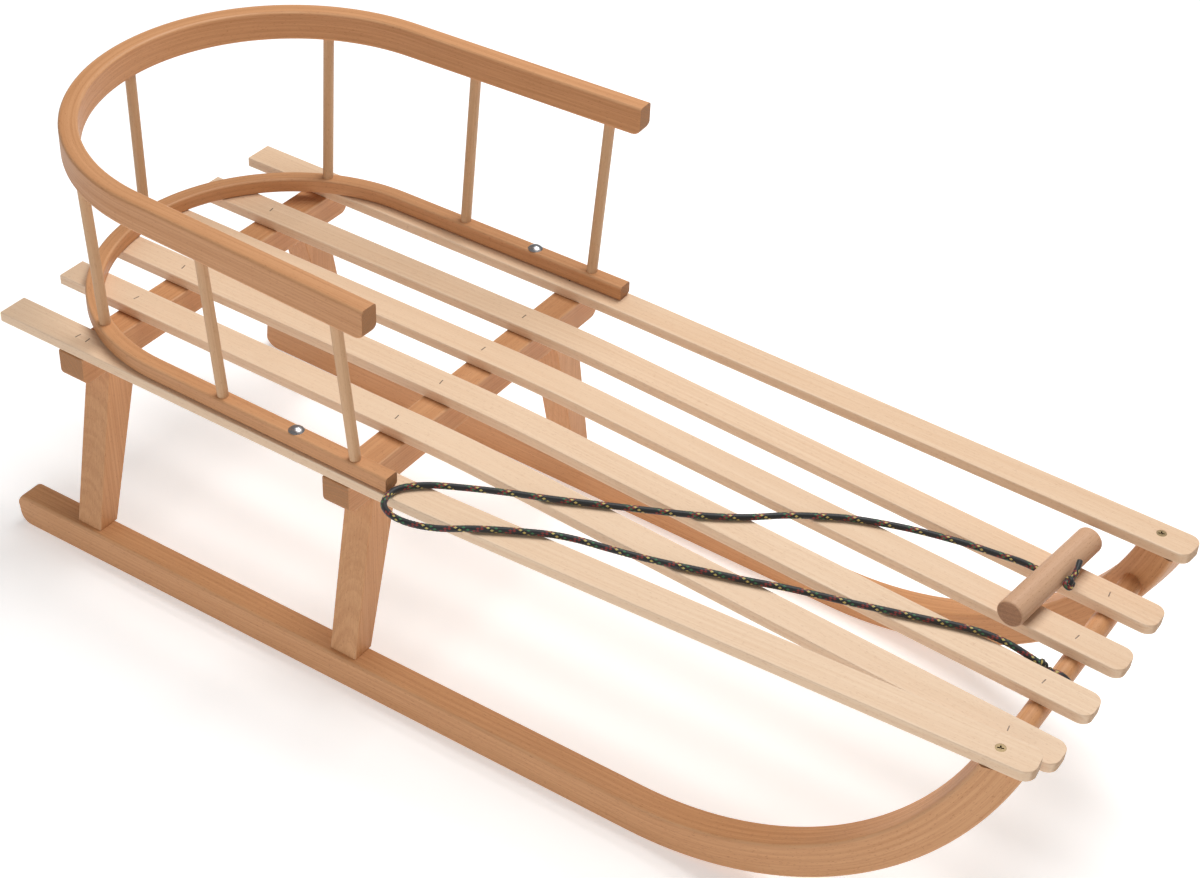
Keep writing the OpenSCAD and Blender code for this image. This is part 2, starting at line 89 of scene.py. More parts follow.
def newGroup(name, kind, inputs, outputs):
    tree = bpy.data.node_groups.new(name, kind)
    for label, socket, default in inputs:
        item = tree.interface.new_socket(name=label, in_out="INPUT", socket_type=socket)
        if default is not None:
            item.default_value = default
    for label, socket in outputs:
        tree.interface.new_socket(name=label, in_out="OUTPUT", socket_type=socket)
    return tree, addNode(tree, "NodeGroupInput"), addNode(tree, "NodeGroupOutput")


def math2(tree, operation, a, b=None, c=None):
    node = addNode(tree, "ShaderNodeMath", operation=operation)
    for i, value in enumerate((a, b, c)):
        if value is None:
            continue
        if isinstance(value, (int, float)):
            node.inputs[i].default_value = value
        else:
            tree.links.new(value, node.inputs[i])
    return node.outputs[0]


def store(tree, geometry, name, value, kind="FLOAT"):
    node = addNode(tree, "GeometryNodeStoreNamedAttribute", data_type=kind, domain="POINT")
    node.inputs["Name"].default_value = name
    tree.links.new(geometry, node.inputs["Geometry"])
    tree.links.new(value, node.inputs["Value"])
    return node.outputs["Geometry"]


def readBack(tree, name, kind="FLOAT"):
    node = addNode(tree, "GeometryNodeInputNamedAttribute", data_type=kind)
    node.inputs["Name"].default_value = name
    return node.outputs["Attribute"]


def endTree(tree, geometry, source, result):
    # the last steps of each shape tree: real geometry in the chosen material
    real = addNode(tree, "GeometryNodeRealizeInstances")
    tree.links.new(geometry, real.inputs["Geometry"])
    paint = addNode(tree, "GeometryNodeSetMaterial")
    tree.links.new(real.outputs["Geometry"], paint.inputs["Geometry"])
    tree.links.new(source.outputs["Material"], paint.inputs["Material"])
    tree.links.new(paint.outputs["Geometry"], result.inputs["Geometry"])
    return tree


def newMaterial(name):
    material = bpy.data.materials.new(name)
    material.use_nodes = True
    tree = material.node_tree
    return material, tree, tree.links.new, tree.nodes["Principled BSDF"]


def addBump(tree, shader, height, strength, distance):
    bump = addNode(tree, "ShaderNodeBump")
    bump.inputs["Strength"].default_value = strength
    bump.inputs["Distance"].default_value = distance
    tree.links.new(height, bump.inputs["Height"])
    tree.links.new(bump.outputs["Normal"], shader.inputs["Normal"])


def pathMesh(name, points, closed=False):
    mesh = bpy.data.meshes.new(name)
    edges = [(i, i + 1) for i in range(len(points) - 1)]
    if closed:
        edges.append((len(points) - 1, 0))
    mesh.from_pydata([tuple(p) for p in points], edges, [])
    piece = bpy.data.objects.new(name, mesh)
    bpy.context.scene.collection.objects.link(piece)
    return piece


def useTree(piece, tree, values):
    modifier = piece.modifiers.new(tree.name, "NODES")
    modifier.node_group = tree
    for item in tree.interface.items_tree:
        if item.item_type == "SOCKET" and item.in_out == "INPUT" and item.name in values:
            modifier[item.identifier] = values[item.name]


def bake(piece):
    # turns the modifiers' result into a plain mesh
    graph = bpy.context.evaluated_depsgraph_get()
    mesh = bpy.data.meshes.new_from_object(piece.evaluated_get(graph), preserve_all_data_layers=True,
                                           depsgraph=graph)
    piece.modifiers.clear()
    piece.data = mesh


def settle(piece, bevel=0, steps=2):
    # a plain mesh with rounded arrises and clean normals
    if piece.modifiers:
        bake(piece)
    work = bmesh.new()
    work.from_mesh(piece.data)
    bmesh.ops.remove_doubles(work, verts=work.verts, dist=1e-7)
    bmesh.ops.recalc_face_normals(work, faces=work.faces)
    work.to_mesh(piece.data)
    work.free()
    if bevel:
        edge = piece.modifiers.new("arris", "BEVEL")
        edge.width = bevel
        edge.segments = steps
        edge.limit_method = "ANGLE"
        edge.angle_limit = math.radians(55)
    piece.data.shade_smooth()
    weigh = piece.modifiers.new("weigh", "WEIGHTED_NORMAL")
    weigh.keep_sharp = True
    weigh.weight = 100
    bake(piece)
    piece.data.name = piece.name
    return piece


# the cord: braided, 5.5 mm thick, laid loosely over the seat
cord = dict(diameter=0.0055, ringGap=0.0009, sides=28, relief=0.00022, pitch=0.026, carriers=8)

cordRoute = [
    (942, -10.5, 203), (932, -11, 206), (916, -12.5, 210.3), (898, -15.5, 213), (878, -21, 214.2),
    (842, -35, 216.2), (799, -52, 218.8), (770, -63, 220.8), (745, -72.5, 222.2), (720, -83, 223.4),
    (692, -94, 224.9), (665, -105, 226.5), (638, -116, 229), (612, -127, 233.2), (590, -137, 237.6),
    (569, -148, 240.2), (545, -161, 240.1), (520, -176, 239.9), (496, -192, 239), (474, -200.5, 238.6),
    (455, -201.5, 238.6), (442, -195, 238.9), (437.5, -182, 239.2), (441, -169, 239.3),
    (456, -154, 239.3), (479, -138.5, 237.8), (510, -120, 235.6), (544, -102, 233.4),
    (581, -81, 231.3), (617, -60.5, 229.2), (653, -38.5, 227.1), (680, -18, 225.5),
    (702, 2.5, 224.4), (724, 20, 223), (750, 37, 221.5), (791, 55, 219.4), (832, 67, 217.8),
    (862, 70.5, 218.4), (884, 71, 220.6), (900, 69.5, 221.6),
]


def smoothLine(points, gap):
    # a smooth curve through the points, with a point about every gap
    points = [Vector(p) for p in points]
    last = len(points) - 1
    line = []
    for i in range(last):
        a, b, c, d = points[max(i - 1, 0)], points[i], points[i + 1], points[min(i + 2, last)]
        count = max(2, round((c - b).length / gap))
        for j in range(count):
            u = j / count
            line.append(0.5 * (2 * b + (c - a) * u + (2 * a - 5 * b + 4 * c - d) * u * u
                               + (3 * b - a - 3 * c + d) * u ** 3))
    line.append(points[-1])
    return line


def braidTree():
    tree, source, result = newGroup("braidedCord", "GeometryNodeTree", [
        ("Geometry", "NodeSocketGeometry", None), ("Radius", "NodeSocketFloat", 0.00275),
        ("Sides", "NodeSocketInt", 28), ("Relief", "NodeSocketFloat", 0.0002),
        ("Pitch", "NodeSocketFloat", 0.026), ("Carriers", "NodeSocketFloat", 8.0),
        ("Material", "NodeSocketMaterial", None)], [("Geometry", "NodeSocketGeometry")])
    link = tree.links.new
    path = addNode(tree, "GeometryNodeMeshToCurve")
    link(source.outputs["Geometry"], path.inputs["Mesh"])
    length = addNode(tree, "GeometryNodeSplineParameter")
    along = store(tree, path.outputs["Curve"], "along", length.outputs["Length"])
    ring = addNode(tree, "GeometryNodeCurvePrimitiveCircle")
    link(source.outputs["Sides"], ring.inputs["Resolution"])
    link(source.outputs["Radius"], ring.inputs["Radius"])
    spot = addNode(tree, "GeometryNodeInputPosition")
    profile = store(tree, ring.outputs["Curve"], "across", spot.outputs[0], "FLOAT_VECTOR")
    sweep = addNode(tree, "GeometryNodeCurveToMesh")
    sweep.inputs["Fill Caps"].default_value = True
    link(along, sweep.inputs["Curve"])
    link(profile, sweep.inputs["Profile Curve"])
    # each strand stands a little proud at its middle
    across = addNode(tree, "ShaderNodeSeparateXYZ")
    link(readBack(tree, "across", "FLOAT_VECTOR"), across.inputs[0])
    angle = math2(tree, "ARCTAN2", across.outputs["Y"], across.outputs["X"])
    turn = math2(tree, "DIVIDE", angle, 2 * math.pi)
    climb = math2(tree, "DIVIDE", readBack(tree, "along"), source.outputs["Pitch"])
    bumps = []
    for sign in (1, -1):
        phase = math2(tree, "ADD", climb, math2(tree, "MULTIPLY", turn, sign))
        wave = math2(tree, "SINE", math2(tree, "MULTIPLY",
                                         math2(tree, "MULTIPLY", phase, source.outputs["Carriers"]), math.pi))
        bumps.append(math2(tree, "ABSOLUTE", wave))
    height = math2(tree, "MULTIPLY", math2(tree, "MULTIPLY", bumps[0], bumps[1]), source.outputs["Relief"])
    normal = addNode(tree, "GeometryNodeInputNormal")
    push = addNode(tree, "ShaderNodeVectorMath", operation="SCALE")
    link(normal.outputs[0], push.inputs[0])
    link(height, push.inputs["Scale"])
    move = addNode(tree, "GeometryNodeSetPosition")
    link(sweep.outputs["Mesh"], move.inputs["Geometry"])
    link(push.outputs[0], move.inputs["Offset"])
    return endTree(tree, move.outputs["Geometry"], source, result)


def braidMaterial():
    # black sheath with three red strands one way, and a green and a yellow strand the other way
    material, tree, link, shader = newMaterial("braidedPolyester")
    across = addNode(tree, "ShaderNodeAttribute", attribute_name="across")
    along = addNode(tree, "ShaderNodeAttribute", attribute_name="along")
    split = addNode(tree, "ShaderNodeSeparateXYZ")
    link(across.outputs["Vector"], split.inputs[0])
    turn = math2(tree, "DIVIDE", math2(tree, "ARCTAN2", split.outputs["Y"], split.outputs["X"]), 2 * math.pi)
    climb = math2(tree, "DIVIDE", along.outputs["Fac"], cord["pitch"])
    count = cord["carriers"]
    lanes = [math2(tree, "MULTIPLY", math2(tree, "ADD", climb, math2(tree, "MULTIPLY", turn, sign)), count)
             for sign in (1, -1)]
    cells = [math2(tree, "FLOOR", lane) for lane in lanes]
    carriers = [math2(tree, "FLOORED_MODULO", cell, count) for cell in cells]
    over = math2(tree, "FLOORED_MODULO", math2(tree, "ADD", cells[0], cells[1]), 2)
    red = math2(tree, "LESS_THAN", carriers[0], 1.5)
    green = math2(tree, "COMPARE", carriers[1], 2, 0.6)
    yellow = math2(tree, "COMPARE", carriers[1], 4, 0.6)

    def mix(factor, a, b):
        node = addNode(tree, "ShaderNodeMix", data_type="RGBA")
        link(factor, node.inputs["Factor"])
        for socket, value in ((node.inputs["A"], a), (node.inputs["B"], b)):
            if isinstance(value, tuple):
                socket.default_value = value + (1,)
            else:
                link(value, socket)
        return node.outputs["Result"]
    black = (0.007, 0.008, 0.009)
    oneWay = mix(red, black, (0.30, 0.022, 0.018))
    otherWay = mix(yellow, mix(green, black, (0.03, 0.20, 0.07)), (0.72, 0.58, 0.16))
    colour = mix(over, oneWay, otherWay)
    # fine fibres inside each strand
    fibre = addNode(tree, "ShaderNodeTexNoise")
    fibre.inputs["Scale"].default_value = 1500
    fibre.inputs["Detail"].default_value = 2
    spot = addNode(tree, "ShaderNodeTexCoord")
    link(spot.outputs["Object"], fibre.inputs["Vector"])
    shade = addNode(tree, "ShaderNodeMix", data_type="RGBA", blend_type="MULTIPLY")
    shade.inputs["Factor"].default_value = 0.55
    link(colour, shade.inputs["A"])
    link(fibre.outputs["Color"], shade.inputs["B"])
    link(shade.outputs["Result"], shader.inputs["Base Color"])
    addBump(tree, shader, fibre.outputs["Fac"], 0.5, 0.0002)
    shader.inputs["Roughness"].default_value = 0.55
    shader.inputs["Sheen Weight"].default_value = 0.25
    shader.inputs["Sheen Roughness"].default_value = 0.5
    return material


cordTree = braidTree()
cordCloth = braidMaterial()


def cordPiece(name, points, closed=False, radius=None):
    piece = pathMesh(name, points, closed)
    useTree(piece, cordTree, {
        "Radius": radius or cord["diameter"] / 2 - cord["relief"] / 2, "Sides": cord["sides"],
        "Relief": cord["relief"], "Pitch": cord["pitch"], "Carriers": float(cord["carriers"]),
        "Material": cordCloth})
    settle(piece)
    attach(piece, "sled")
    return piece


cordLine = smoothLine([at(*p) for p in cordRoute], cord["ringGap"])
pullCord = cordPiece("cord", cordLine)
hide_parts("pull_cord")

# two turns round the front bar, ending in the knot
barLoop = dict(y=-9.2, spread=5.6, radius=12.9, drop=0.6, turns=2, steps=110, start=122)


def loopLine(s):
    line = []
    for i in range(s["steps"] + 1):
        t = i / s["steps"]
        a = math.radians(s["start"]) - t * s["turns"] * 2 * math.pi
        line.append(Vector((barCentre.x + s["radius"] / 1000 * math.cos(a),
                            (s["y"] + s["spread"] * (t - 0.5)) / 1000,
                            barCentre.z + (s["radius"] * math.sin(a) - s["drop"]) / 1000)))
    return line


loopPiece = cordPiece("cord_bar_loop", loopLine(barLoop))
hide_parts("bar_loop")


def knotLine(centre, size, tilt, steps=90):
    # an overhand knot pulled tight
    turn = Matrix.Rotation(math.radians(tilt), 3, "Y")
    line = []
    for i in range(steps):
        a = 2 * math.pi * i / steps
        p = Vector((math.sin(a) + 2 * math.sin(2 * a), math.cos(a) - 2 * math.cos(2 * a),
                    -1.3 * math.sin(3 * a)))
        line.append(Vector(centre) + turn @ p * size)
    return line


knotAtBar = dict(size=0.00105, tilt=60, radius=0.0021)
knotAtHandle = dict(size=0.0013, tilt=80, radius=0.0024, tailRadius=0.0023, below=11.2)
barKnot = cordPiece("cord_bar_knot", knotLine(at(945, -10.3, 202), knotAtBar["size"], knotAtBar["tilt"]),
                    True, knotAtBar["radius"])
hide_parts("bar_knot")
endSpot = at(928.3, 67.5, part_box("pull_handle")[1][2] * 1000 - knotAtHandle["below"])
endKnot = cordPiece("cord_end_knot", knotLine(endSpot, knotAtHandle["size"], knotAtHandle["tilt"]),
                    True, knotAtHandle["radius"])
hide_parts("end_knot")
tail = [endSpot, endSpot + Vector((0.0005, 0.007, 0.0035)), endSpot + Vector((0.0, 0.014, 0.0065)),
        endSpot + Vector((-0.0015, 0.021, 0.0085))]
tailPiece = cordPiece("cord_tail", smoothLine(tail, 0.0012), radius=knotAtHandle["tailRadius"])
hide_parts("end_knot")
print("cord laid:", len(cordLine), "rings")


# wood
def beechGroup():
    # grain, rings and ray flecks of beech, in each piece's own along-across-through coordinates
    tree, source, result = newGroup("beechGrain", "ShaderNodeTree", [
        ("Pale", "NodeSocketColor", (0.8, 0.62, 0.46, 1)), ("Dark", "NodeSocketColor", (0.6, 0.4, 0.25, 1)),
        ("End", "NodeSocketColor", (0.4, 0.24, 0.13, 1)), ("Contrast", "NodeSocketFloat", 0.5),
        ("Flecks", "NodeSocketFloat", 0.3), ("Streaks", "NodeSocketFloat", 0.4)],
        [("Color", "NodeSocketColor"), ("Height", "NodeSocketFloat"), ("Roughness", "NodeSocketFloat")])
    link = tree.links.new
    grain = addNode(tree, "ShaderNodeAttribute", attribute_name="grain")
    number = addNode(tree, "ShaderNodeAttribute", attribute_name="board")
    split = addNode(tree, "ShaderNodeSeparateXYZ")
    link(grain.outputs["Vector"], split.inputs[0])
    along, across, through = split.outputs
    seed = number.outputs["Fac"]

    def noise(scales, shift, detail, rough=0.55, distortion=0.0):
        place = addNode(tree, "ShaderNodeCombineXYZ")
        for i, (value, scale) in enumerate(zip((along, across, through), scales)):
            link(math2(tree, "MULTIPLY_ADD", value, scale, math2(tree, "MULTIPLY", seed, shift + 3.7 * i)),
                 place.inputs[i])
        node = addNode(tree, "ShaderNodeTexNoise")
        node.inputs["Scale"].default_value = 1
        node.inputs["Detail"].default_value = detail
        node.inputs["Roughness"].default_value = rough
        node.inputs["Distortion"].default_value = distortion
        link(place.outputs[0], node.inputs["Vector"])
        return node.outputs["Fac"]

    def span(value, low, high, toLow=0.0, toHigh=1.0):
        node = addNode(tree, "ShaderNodeMapRange", interpolation_type="SMOOTHSTEP")
        link(value, node.inputs["Value"])
        for name, number in (("From Min", low), ("From Max", high), ("To Min", toLow), ("To Max", toHigh)):
            node.inputs[name].default_value = number
        return node.outputs["Result"]

    # year rings round a pith that lies outside the board
    sway = math2(tree, "SINE", math2(tree, "MULTIPLY", seed, 12.9))
    pithY = math2(tree, "MULTIPLY_ADD", sway, 0.05, across)
    depth = math2(tree, "COSINE", math2(tree, "MULTIPLY", seed, 7.3))
    pithZ = math2(tree, "ADD", through, math2(tree, "MULTIPLY_ADD", depth, 0.03, 0.055))
    drift = math2(tree, "MULTIPLY", noise((2.2, 9, 9), 1.3, 1), 0.016)
    radius = math2(tree, "ADD", math2(tree, "SQRT", math2(tree, "ADD", math2(tree, "MULTIPLY", pithY, pithY),
                                                           math2(tree, "MULTIPLY", pithZ, pithZ))), drift)
    ringLine = addNode(tree, "ShaderNodeTexNoise", noise_dimensions="1D")
    ringLine.inputs["Scale"].default_value = 1
    ringLine.inputs["Detail"].default_value = 3
    link(math2(tree, "MULTIPLY", radius, 420), ringLine.inputs["W"])
    rings = span(ringLine.outputs["Fac"], 0.32, 0.68)
    streaks = span(noise((14, 620, 620), 2.1, 4, 0.6), 0.3, 0.72)
    tone = span(noise((3.1, 22, 22), 5.9, 2), 0.25, 0.75)
    flecks = span(noise((260, 1900, 1500), 4.4, 1, 0.4), 0.64, 0.72)
    grown = math2(tree, "ADD", math2(tree, "MULTIPLY", rings, 0.42),
                  math2(tree, "ADD", math2(tree, "MULTIPLY", tone, 0.33),
                        math2(tree, "MULTIPLY", streaks, source.outputs["Streaks"])))
    board = math2(tree, "MULTIPLY", math2(tree, "SINE", math2(tree, "MULTIPLY", seed, 31.7)), 0.16)
    share = math2(tree, "ADD", math2(tree, "MULTIPLY", math2(tree, "SUBTRACT", grown, 0.42),
                                     source.outputs["Contrast"]), math2(tree, "ADD", board, 0.45))
    body = addNode(tree, "ShaderNodeMix", data_type="RGBA", clamp_factor=True)
    link(share, body.inputs["Factor"])
    link(source.outputs["Pale"], body.inputs["A"])
    link(source.outputs["Dark"], body.inputs["B"])
    speck = addNode(tree, "ShaderNodeMix", data_type="RGBA", blend_type="MULTIPLY", clamp_factor=True)
    link(math2(tree, "MULTIPLY", flecks, source.outputs["Flecks"]), speck.inputs["Factor"])
    link(body.outputs["Result"], speck.inputs["A"])
    speck.inputs["B"].default_value = (0.62, 0.47, 0.36, 1)
    # end grain soaks up more finish, so it is darker
    facing = addNode(tree, "ShaderNodeNewGeometry")
    fibre = addNode(tree, "ShaderNodeAttribute", attribute_name="fibre")
    dot = addNode(tree, "ShaderNodeVectorMath", operation="DOT_PRODUCT")
    link(facing.outputs["Normal"], dot.inputs[0])
    link(fibre.outputs["Vector"], dot.inputs[1])
    cut = span(math2(tree, "ABSOLUTE", dot.outputs["Value"]), 0.72, 0.95)
    pores = span(noise((60, 1500, 1500), 6.6, 3, 0.7), 0.35, 0.65)
    endTone = addNode(tree, "ShaderNodeMix", data_type="RGBA", clamp_factor=True)
    link(math2(tree, "ADD", math2(tree, "MULTIPLY", pores, 0.55), math2(tree, "MULTIPLY", rings, 0.35)),
         endTone.inputs["Factor"])
    link(source.outputs["End"], endTone.inputs["A"])
    link(source.outputs["Dark"], endTone.inputs["B"])
    final = addNode(tree, "ShaderNodeMix", data_type="RGBA", clamp_factor=True)
    link(math2(tree, "MULTIPLY", cut, 0.85), final.inputs["Factor"])
    link(speck.outputs["Result"], final.inputs["A"])
    link(endTone.outputs["Result"], final.inputs["B"])
    link(final.outputs["Result"], result.inputs["Color"])
    height = math2(tree, "SUBTRACT", math2(tree, "MULTIPLY", streaks, 0.7),
                   math2(tree, "MULTIPLY", flecks, 0.5))
    link(math2(tree, "SUBTRACT", height, math2(tree, "MULTIPLY", math2(tree, "MULTIPLY", pores, cut), 0.8)),
         result.inputs["Height"])
    rough = math2(tree, "MULTIPLY_ADD", streaks, 0.12, 0.44)
    link(math2(tree, "MULTIPLY_ADD", cut, 0.2, rough), result.inputs["Roughness"])
    return tree


def wearAndHighlightGroup():
    # slightly paler arrises, partly worn by rubbing and partly a painted highlight along the rounded edges,
    # from a board's half width and half height
    tree, source, result = newGroup("rubbedAndHighlitEdges", "ShaderNodeTree", [
        ("Color", "NodeSocketColor", (1, 1, 1, 1)), ("RubbedAndHighlit", "NodeSocketColor", (1, 0.9, 0.8, 1)),
        ("Amount", "NodeSocketFloat", 0.4), ("Reach", "NodeSocketFloat", 0.003)],
        [("Color", "NodeSocketColor")])
    link = tree.links.new
    grain = addNode(tree, "ShaderNodeAttribute", attribute_name="grain")
    section = addNode(tree, "ShaderNodeAttribute", attribute_name="section")
    a, b = addNode(tree, "ShaderNodeSeparateXYZ"), addNode(tree, "ShaderNodeSeparateXYZ")
    link(grain.outputs["Vector"], a.inputs[0])
    link(section.outputs["Vector"], b.inputs[0])
    gaps = [math2(tree, "SUBTRACT", b.outputs[i - 1], math2(tree, "ABSOLUTE", a.outputs[i])) for i in (1, 2)]
    # near an arris both gaps are small
    gap = math2(tree, "MAXIMUM", gaps[0], gaps[1])
    near = addNode(tree, "ShaderNodeMapRange", interpolation_type="SMOOTHSTEP")
    link(gap, near.inputs["Value"])
    near.inputs["From Min"].default_value = 0
    link(source.outputs["Reach"], near.inputs["From Max"])
    near.inputs["To Min"].default_value = 1
    near.inputs["To Max"].default_value = 0
    patchy = addNode(tree, "ShaderNodeTexNoise")
    patchy.inputs["Scale"].default_value = 30
    spot = addNode(tree, "ShaderNodeTexCoord")
    link(spot.outputs["Object"], patchy.inputs["Vector"])
    much = math2(tree, "MULTIPLY", math2(tree, "MULTIPLY", near.outputs["Result"], patchy.outputs["Fac"]),
                 source.outputs["Amount"])
    # the paler arrise colour mixed in here is part real wear, part painted highlight where light catches the
    # rounded edges
    mix = addNode(tree, "ShaderNodeMix", data_type="RGBA", clamp_factor=True)
    link(much, mix.inputs["Factor"])
    link(source.outputs["Color"], mix.inputs["A"])
    link(source.outputs["RubbedAndHighlit"], mix.inputs["B"])
    link(mix.outputs["Result"], result.inputs["Color"])
    return tree


grainGroup = beechGroup()
edgeWearAndHighlightGroup = wearAndHighlightGroup()


def woodMaterial(name, look):
    material, tree, link, shader = newMaterial(name)
    grain = addNode(tree, "ShaderNodeGroup", node_tree=grainGroup)
    for label in ("pale", "dark", "end"):
        grain.inputs[label.capitalize()].default_value = look[label] + (1,)
    for label in ("contrast", "flecks", "streaks"):
        grain.inputs[label.capitalize()].default_value = look[label]
    wearAndHighlight = addNode(tree, "ShaderNodeGroup", node_tree=edgeWearAndHighlightGroup)
    link(grain.outputs["Color"], wearAndHighlight.inputs["Color"])
    # paler arrises: part real wear, part painted highlight on the rounded edges
    wearAndHighlight.inputs["RubbedAndHighlit"].default_value = look["rubbedAndHighlit"] + (1,)
    wearAndHighlight.inputs["Amount"].default_value = look["wearAndHighlight"]
    link(wearAndHighlight.outputs["Color"], shader.inputs["Base Color"])
    link(grain.outputs["Roughness"], shader.inputs["Roughness"])
    addBump(tree, shader, grain.outputs["Height"], 0.35, 0.00025)
    shader.inputs["Specular IOR Level"].default_value = 0.35
    return material


# each look's paler arrise colour and its amount are part real wear, part painted highlight on the rounded
# edges
slatWood = woodMaterial("planedBeech", dict(
    pale=(0.86, 0.65, 0.46), dark=(0.72, 0.48, 0.30), end=(0.45, 0.27, 0.15), rubbedAndHighlit=(0.9, 0.74, 0.58),
    contrast=0.55, flecks=0.35, streaks=0.45, wearAndHighlight=0.5))
frameWood = woodMaterial("sandedBeech", dict(
    pale=(0.70, 0.375, 0.18), dark=(0.50, 0.225, 0.09), end=(0.30, 0.155, 0.075), rubbedAndHighlit=(0.74, 0.5, 0.31),
    contrast=0.6, flecks=0.55, streaks=0.5, wearAndHighlight=0.5))
hoopWood = woodMaterial("steamedBeech", dict(
    pale=(0.67, 0.34, 0.16), dark=(0.46, 0.20, 0.075), end=(0.28, 0.145, 0.07), rubbedAndHighlit=(0.72, 0.47, 0.28),
    contrast=0.6, flecks=0.5, streaks=0.5, wearAndHighlight=0.5))
pegWood = woodMaterial("turnedBeech", dict(
    pale=(0.70, 0.45, 0.26), dark=(0.54, 0.31, 0.16), end=(0.36, 0.2, 0.1), rubbedAndHighlit=(0.76, 0.54, 0.36),
    contrast=0.5, flecks=0.4, streaks=0.5, wearAndHighlight=0.0))
handleWood = woodMaterial("handledBeech", dict(
    pale=(0.70, 0.44, 0.28), dark=(0.54, 0.31, 0.18), end=(0.30, 0.15, 0.09), rubbedAndHighlit=(0.8, 0.6, 0.42),
    contrast=0.55, flecks=0.6, streaks=0.4, wearAndHighlight=0.0))
print("wood materials made")


def sweepTree(name, rounded):
    # a rounded rectangular or a round section carried along a path, with its grain coordinates
    tree, source, result = newGroup(name, "GeometryNodeTree", [
        ("Geometry", "NodeSocketGeometry", None), ("Width", "NodeSocketFloat", 0.03),
        ("Height", "NodeSocketFloat", 0.01), ("Edge radius", "NodeSocketFloat", 0.001),
        ("Steps", "NodeSocketInt", 4), ("Material", "NodeSocketMaterial", None)],
        [("Geometry", "NodeSocketGeometry")])
    link = tree.links.new
    path = addNode(tree, "GeometryNodeMeshToCurve")
    link(source.outputs["Geometry"], path.inputs["Mesh"])
    upright = addNode(tree, "GeometryNodeSetCurveNormal", mode="MINIMUM_TWIST" if rounded else "Z_UP")
    link(path.outputs["Curve"], upright.inputs["Curve"])
    length = addNode(tree, "GeometryNodeSplineParameter")
    tangent = addNode(tree, "GeometryNodeInputTangent")
    curve = store(tree, upright.outputs["Curve"], "along", length.outputs["Length"])
    curve = store(tree, curve, "fibre", tangent.outputs[0], "FLOAT_VECTOR")
    if rounded:
        shape = addNode(tree, "GeometryNodeCurvePrimitiveCircle")
        link(source.outputs["Steps"], shape.inputs["Resolution"])
        link(math2(tree, "MULTIPLY", source.outputs["Width"], 0.5), shape.inputs["Radius"])
        outline = shape.outputs["Curve"]
    else:
        shape = addNode(tree, "GeometryNodeCurvePrimitiveQuadrilateral")
        link(source.outputs["Width"], shape.inputs["Width"])
        link(source.outputs["Height"], shape.inputs["Height"])
        fillet = addNode(tree, "GeometryNodeFilletCurve")
        if hasattr(fillet, "mode"):
            fillet.mode = "POLY"
        link(shape.outputs["Curve"], fillet.inputs["Curve"])
        link(source.outputs["Edge radius"], fillet.inputs["Radius"])
        link(source.outputs["Steps"], fillet.inputs["Count"])
        outline = fillet.outputs["Curve"]
    spot = addNode(tree, "GeometryNodeInputPosition")
    profile = store(tree, outline, "across", spot.outputs[0], "FLOAT_VECTOR")
    sweep = addNode(tree, "GeometryNodeCurveToMesh")
    sweep.inputs["Fill Caps"].default_value = True
    link(curve, sweep.inputs["Curve"])
    link(profile, sweep.inputs["Profile Curve"])
    split = addNode(tree, "ShaderNodeSeparateXYZ")
    link(readBack(tree, "across", "FLOAT_VECTOR"), split.inputs[0])
    joined = addNode(tree, "ShaderNodeCombineXYZ")
    link(readBack(tree, "along"), joined.inputs[0])
    link(split.outputs[0], joined.inputs[1])
    link(split.outputs[1], joined.inputs[2])
    done = store(tree, sweep.outputs["Mesh"], "grain", joined.outputs[0], "FLOAT_VECTOR")
    return endTree(tree, done, source, result)


boardTree = sweepTree("bentBoard", False)
dowelTree = sweepTree("dowel", True)
boardCount = 0
toneStep = 0.37


def tagBoard(piece, width, height):
    # every piece of wood has its own number, which shifts its grain and tone
    global boardCount
    boardCount += 1
    mesh = piece.data
    for label, kind, value in (("board", "FLOAT", toneStep * boardCount),
                               ("section", "FLOAT_VECTOR", (width / 2, height / 2, 0))):
        layer = mesh.attributes.new(label, kind, "POINT")
        size = len(mesh.vertices)
        if kind == "FLOAT":
            layer.data.foreach_set("value", np.full(size, value, np.float32))
        else:
            layer.data.foreach_set("vector", np.tile(np.float32(value), size))


def readVectors(mesh, label):
    values = np.empty(len(mesh.vertices) * 3, np.float32)
    mesh.attributes[label].data.foreach_get("vector", values)
    return values.reshape(-1, 3)


def flipOf(piece, axis):
    # 1 where the section's axis runs with the frame's own, -1 where it runs against it
    place = readVectors(piece.data, "position")
    grain = readVectors(piece.data, "grain")
    start = grain[:, 0] < 0.0001
    return 1 if np.polyfit(grain[start, axis], place[start, axis], 1)[0] > 0 else -1


def roundEnd(piece, gone, axis, side, radius, half, direction, flip=1):
    # rounds one end's corner: gone gives each vertex's distance from that end
    mesh = piece.data
    grain = readVectors(mesh, "grain")
    place = readVectors(mesh, "position")
    left = gone(grain[:, 0])
    value = grain[:, axis].copy()
    drop = radius - np.sqrt(np.maximum(radius ** 2 - np.maximum(radius - left, 0) ** 2, 0))
    touched = (left < radius) & ((value * side > 0) if side else np.ones(len(value), bool))
    fresh = np.where(touched, value * (half - drop) / half, value)
    place += (fresh - value)[:, None] * flip * np.float32(direction)
    grain[:, axis] = fresh
    mesh.attributes["position"].data.foreach_set("vector", place.ravel())
    mesh.attributes["grain"].data.foreach_set("vector", grain.ravel())


def sweepBoard(name, points, width, height, edge, material, steps=3):
    piece = pathMesh(name, points)
    useTree(piece, boardTree, {"Width": width, "Height": height, "Edge radius": edge, "Steps": steps,
                               "Material": material})
    bake(piece)
    tagBoard(piece, width, height)
    return piece


